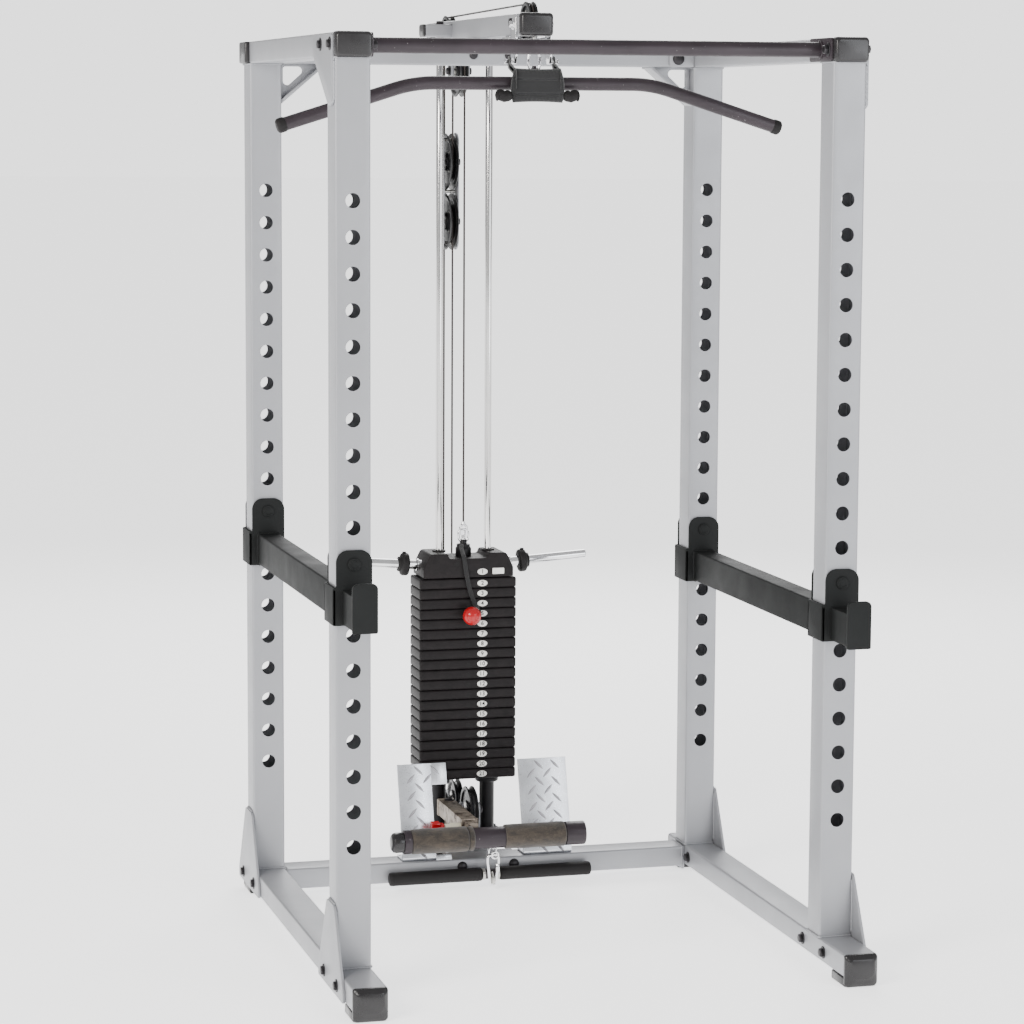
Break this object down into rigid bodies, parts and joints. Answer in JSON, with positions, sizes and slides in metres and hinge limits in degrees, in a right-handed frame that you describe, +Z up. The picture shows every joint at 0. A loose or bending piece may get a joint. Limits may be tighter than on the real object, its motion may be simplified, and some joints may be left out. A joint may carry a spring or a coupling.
{
  "type": "power cage with cable station",
  "caption": "Square-tube power cage with safety arms and chin-up bar, with a plate-stack cable station behind for pull-downs and low rows",
  "frame": {"origin": "middle of the overall footprint, on the floor", "axes": "+Z up, -Y towards the user at the open front, +X to the right seen from the front"},
  "size_m": [1.2014, 1.6154, 2.147],
  "materials": {
    "silver_paint": "silver-grey powder coat, satin",
    "black_rubber": "black moulded rubber and plastic",
    "bar_paint": "dark brown-black satin paint",
    "black_paint": "satin black powder coat",
    "chrome": "polished chrome",
    "iron": "dark painted cast iron, slightly rough",
    "red_plastic": "glossy red moulded plastic",
    "foam": "dark brown closed-cell foam",
    "pulley_nylon": "black moulded nylon",
    "cable_jacket": "black plastic jacket over steel cable",
    "tread_plate": "bright tread plate with raised bars",
    "webbing": "black woven webbing over padding"
  },
  "bodies": {
    "cage": {"upright_fl": "silver_paint", "upright_fr": "silver_paint", "upright_rl": "silver_paint", "upright_rr": "silver_paint", "base_tube_left": "silver_paint", "base_tube_right": "silver_paint", "top_tube_left": "silver_paint", "top_tube_right": "silver_paint", "foot_fl": "black_rubber", "foot_fr": "black_rubber", "foot_rl": "black_rubber", "foot_rr": "black_rubber", "crossmember_top": "silver_paint", "crossmember_bottom": "silver_paint", "chin_up_bar": "bar_paint", "lat_beam": "silver_paint", "lat_beam_cap": "black_rubber", "strap_hanger": "chrome", "guide_rod_left": "chrome", "guide_rod_right": "chrome", "rod_sleeve_left": "black_paint", "rod_sleeve_right": "black_paint", "lat_base": "silver_paint", "plates_resting": "iron", "foot_plate_left": "tread_plate", "foot_plate_right": "tread_plate", "cable_lat_drop": "cable_jacket", "cable_top_run": "cable_jacket", "cable_upper_loop": "cable_jacket", "cable_return_arc": "cable_jacket", "cable_stack_drop": "cable_jacket", "cable_lower_loop": "cable_jacket", "cable_low_run": "cable_jacket"},
    "stack": {"top_plate": "iron", "stack_stem": "black_paint", "plates_selected": "iron", "plate_horn_left": "chrome", "plate_horn_right": "chrome", "horn_collar_left": "black_rubber", "horn_collar_right": "black_rubber"},
    "selector": {"selector_pin": "red_plastic"},
    "clip": {"lat_clip": "chrome"},
    "pull_bar": {"lat_bar": "bar_paint"},
    "row": {"row_bar": "bar_paint", "cable_row_tail": "cable_jacket"},
    "floater": {"float_block": "silver_paint"},
    "arm": {"hold_down_arm": "bar_paint"},
    "roller_left": {"foam_left": "foam"},
    "roller_right": {"foam_right": "foam"},
    "arm_pin": {"pop_pin": "red_plastic"},
    "safety_arm_left": {"safety_left": "black_paint"},
    "safety_arm_right": {"safety_right": "black_paint"},
    "strap": {"strap_pad": "webbing"},
    "wheel_front_top": {"pulley_front_top": "pulley_nylon"},
    "wheel_rear_top": {"pulley_rear_top": "pulley_nylon"},
    "wheel_return": {"pulley_return": "pulley_nylon"},
    "wheel_float_upper": {"pulley_float_upper": "pulley_nylon"},
    "wheel_float_lower": {"pulley_float_lower": "pulley_nylon"},
    "wheel_low_rear": {"pulley_low_rear": "pulley_nylon"},
    "wheel_low_front": {"pulley_low_front": "pulley_nylon"}
  },
  "joints": [
    {"name": "lat_pull", "type": "slide", "parent": "cage", "child": "clip", "axis": [0, 0, -1], "range_m": [0, 0.9], "deforming": ["cable_lat_drop"]},
    {"name": "lat_swivel", "type": "hinge", "parent": "clip", "child": "pull_bar", "pos_m": [0, -0.07035, 1.9885], "axis": [0, 0, 1], "range_deg": [-4, 4]},
    {"name": "stack_lift", "type": "slide", "parent": "cage", "child": "stack", "axis": [0, 0, 1], "range_m": [0, 0.9], "deforming": ["cable_stack_drop"]},
    {"name": "selector_pull", "type": "slide", "parent": "stack", "child": "selector", "axis": [0, -1, 0], "range_m": [0, 0.13]},
    {"name": "row_pull", "type": "slide", "parent": "cage", "child": "row", "axis": [0, -1, 0], "range_m": [0, 0.8]},
    {"name": "float_drop", "type": "slide", "parent": "cage", "child": "floater", "axis": [0, 0, -1], "range_m": [0, 0.4], "deforming": ["cable_upper_loop", "cable_lower_loop"]},
    {"name": "front_top_spin", "type": "hinge", "parent": "cage", "child": "wheel_front_top", "pos_m": [0, -0.02735, 2.099], "axis": [1, 0, 0], "range_deg": [0, 1201]},
    {"name": "rear_top_spin", "type": "hinge", "parent": "cage", "child": "wheel_rear_top", "pos_m": [0, 0.72365, 2.089], "axis": [1, 0, 0], "range_deg": [0, 1201]},
    {"name": "return_spin", "type": "hinge", "parent": "cage", "child": "wheel_return", "pos_m": [0, 0.62165, 1.997], "axis": [1, 0, 0], "range_deg": [-876, 0]},
    {"name": "float_upper_spin", "type": "hinge", "parent": "floater", "child": "wheel_float_upper", "pos_m": [0, 0.72365, 1.771], "axis": [1, 0, 0], "range_deg": [0, 1201]},
    {"name": "float_lower_spin", "type": "hinge", "parent": "floater", "child": "wheel_float_lower", "pos_m": [0, 0.72365, 1.621], "axis": [1, 0, 0], "range_deg": [0, 534]},
    {"name": "low_rear_spin", "type": "hinge", "parent": "cage", "child": "wheel_low_rear", "pos_m": [0, 0.63765, 0.152], "axis": [1, 0, 0], "range_deg": [-1067, 0]},
    {"name": "low_front_spin", "type": "hinge", "parent": "cage", "child": "wheel_low_front", "pos_m": [0, 0.49265, 0.15], "axis": [1, 0, 0], "range_deg": [-835, 0]},
    {"name": "arm_slide", "type": "slide", "parent": "cage", "child": "arm", "axis": [0, -1, 0], "range_m": [0, 0.08]},
    {"name": "arm_pin_pull", "type": "slide", "parent": "cage", "child": "arm_pin", "axis": [-1, 0, 0], "range_m": [0, 0.012], "stiffness_N_per_m": 800},
    {"name": "roller_left_spin", "type": "hinge", "parent": "arm", "child": "roller_left", "pos_m": [-0.139, 0.25265, 0.132], "axis": [1, 0, 0], "continuous": true},
    {"name": "roller_right_spin", "type": "hinge", "parent": "arm", "child": "roller_right", "pos_m": [0.102, 0.25265, 0.132], "axis": [1, 0, 0], "continuous": true},
    {"name": "safety_left_flip", "type": "hinge", "parent": "cage", "child": "safety_arm_left", "pos_m": [-0.549, -0.59925, 0.9476], "axis": [0, 1, 0], "range_deg": [0, 90]},
    {"name": "safety_right_flip", "type": "hinge", "parent": "cage", "child": "safety_arm_right", "pos_m": [0.549, -0.59925, 0.8714], "axis": [0, 1, 0], "range_deg": [0, 90]},
    {"name": "strap_swing", "type": "hinge", "parent": "cage", "child": "strap", "pos_m": [0, -0.04735, 2.01], "axis": [-1, 0, 0], "range_deg": [0, 60]}
  ],
  "couplings": [
    {"joint": "stack_lift", "follows": "lat_pull", "ratio": 1},
    {"joint": "float_drop", "follows": "row_pull", "ratio": 0.5},
    {"joint": "front_top_spin", "follows": "lat_pull", "rad_per_m": 23.256},
    {"joint": "rear_top_spin", "follows": "lat_pull", "rad_per_m": 23.256},
    {"joint": "return_spin", "follows": "lat_pull", "rad_per_m": -16.949},
    {"joint": "float_upper_spin", "follows": "lat_pull", "rad_per_m": 23.256},
    {"joint": "float_lower_spin", "follows": "row_pull", "rad_per_m": 11.628},
    {"joint": "low_rear_spin", "follows": "row_pull", "rad_per_m": -23.256},
    {"joint": "low_front_spin", "follows": "row_pull", "rad_per_m": -18.182}
  ]
}
